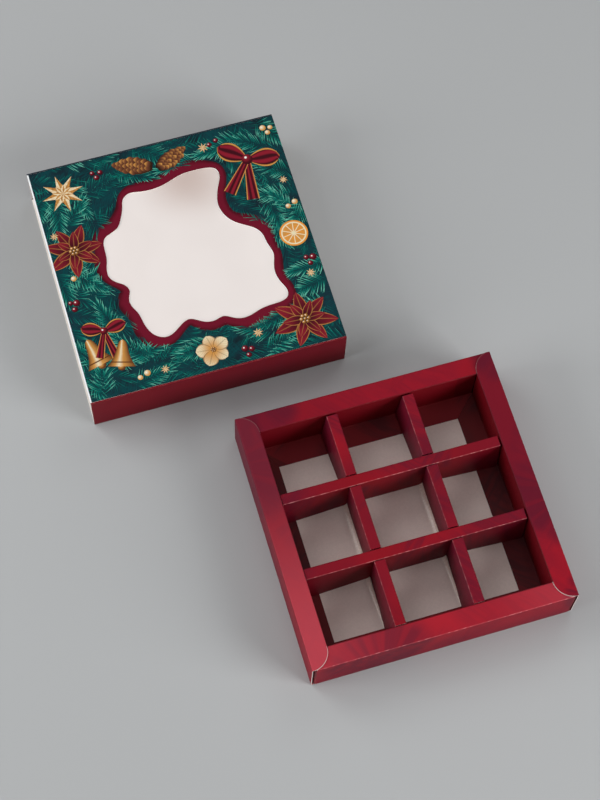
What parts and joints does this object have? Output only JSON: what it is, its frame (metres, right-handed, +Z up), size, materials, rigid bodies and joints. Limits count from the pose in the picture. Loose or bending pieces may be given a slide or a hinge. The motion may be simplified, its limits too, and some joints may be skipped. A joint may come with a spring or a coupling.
{
  "type": "sweet box",
  "caption": "Flat square sweet box: a folded board tray with hollow walls and a drop-in grid of dividers, and an open-ended windowed sleeve that slides over it.",
  "frame": {"origin": "centre of the tray's underside", "axes": "+Z up, +X along the sleeve's open ends, +Y from the tray towards the sleeve behind it"},
  "size_m": [0.2154, 0.3183, 0.0289],
  "materials": {
    "tray_print": "folding board, maroon print with faint tone-on-tone leaves, soft satin coat",
    "plain_board": "unprinted inside of folding board, matt grey-white",
    "divider_print": "folding board, maroon print, soft satin coat, white cut edges",
    "sleeve_print": "folding board, dark green festive print with a maroon border, soft satin coat",
    "sleeve_plain_print": "folding board, plain maroon print outside and white inside",
    "sleeve_inside": "unprinted inside of folding board",
    "clear_film": "thin clear film, glossy"
  },
  "bodies": {
    "tray": {"tray_base": "plain_board", "front_wall": "tray_print", "back_wall": "tray_print", "left_wall": "tray_print", "right_wall": "tray_print", "front_floor_flap": "tray_print", "back_floor_flap": "tray_print", "left_floor_flap": "tray_print", "right_floor_flap": "tray_print", "front_left_tab": "tray_print", "front_right_tab": "tray_print", "back_left_tab": "tray_print", "back_right_tab": "tray_print"},
    "cross_dividers": {"left_cross_divider": "divider_print", "right_cross_divider": "divider_print"},
    "front_long_divider": {"front_long_divider": "divider_print"},
    "rear_long_divider": {"rear_long_divider": "divider_print"},
    "sleeve_floor": {"sleeve_bottom_panel": "sleeve_plain_print", "sleeve_glue_flap": "sleeve_inside"},
    "sleeve_front": {"sleeve_front_panel": "sleeve_plain_print"},
    "sleeve_top": {"sleeve_top_panel": "sleeve_print", "window_film": "clear_film"},
    "sleeve_back": {"sleeve_back_panel": "sleeve_plain_print"}
  },
  "joints": [
    {"name": "grid_lift", "type": "slide", "parent": "tray", "child": "cross_dividers", "axis": [0, 0, 1], "range_m": [0, 0.04]},
    {"name": "front_strip_lift", "type": "slide", "parent": "cross_dividers", "child": "front_long_divider", "axis": [0, 0, 1], "range_m": [0, 0.04]},
    {"name": "rear_strip_lift", "type": "slide", "parent": "cross_dividers", "child": "rear_long_divider", "axis": [0, 0, 1], "range_m": [0, 0.04]},
    {"name": "sleeve_slide", "type": "slide", "parent": "tray", "child": "sleeve_floor", "axis": [1, 0, 0], "range_m": [-0.0718, 0.0719]},
    {"name": "sleeve_fold", "type": "hinge", "parent": "sleeve_floor", "child": "sleeve_front", "pos_m": [-0.0719, 0.10115, 0.00045], "axis": [-1, 0, 0], "range_deg": [0, 85]},
    {"name": "front_top_crease", "type": "hinge", "parent": "sleeve_front", "child": "sleeve_top", "pos_m": [-0.0719, 0.10115, 0.02845], "axis": [-1, 0, 0], "range_deg": [-85, 0]},
    {"name": "back_top_crease", "type": "hinge", "parent": "sleeve_top", "child": "sleeve_back", "pos_m": [-0.0719, 0.24585, 0.02845], "axis": [-1, 0, 0], "range_deg": [0, 85]}
  ],
  "couplings": [
    {"joint": "front_top_crease", "follows": "sleeve_fold", "ratio": -1},
    {"joint": "back_top_crease", "follows": "sleeve_fold", "ratio": 1}
  ]
}
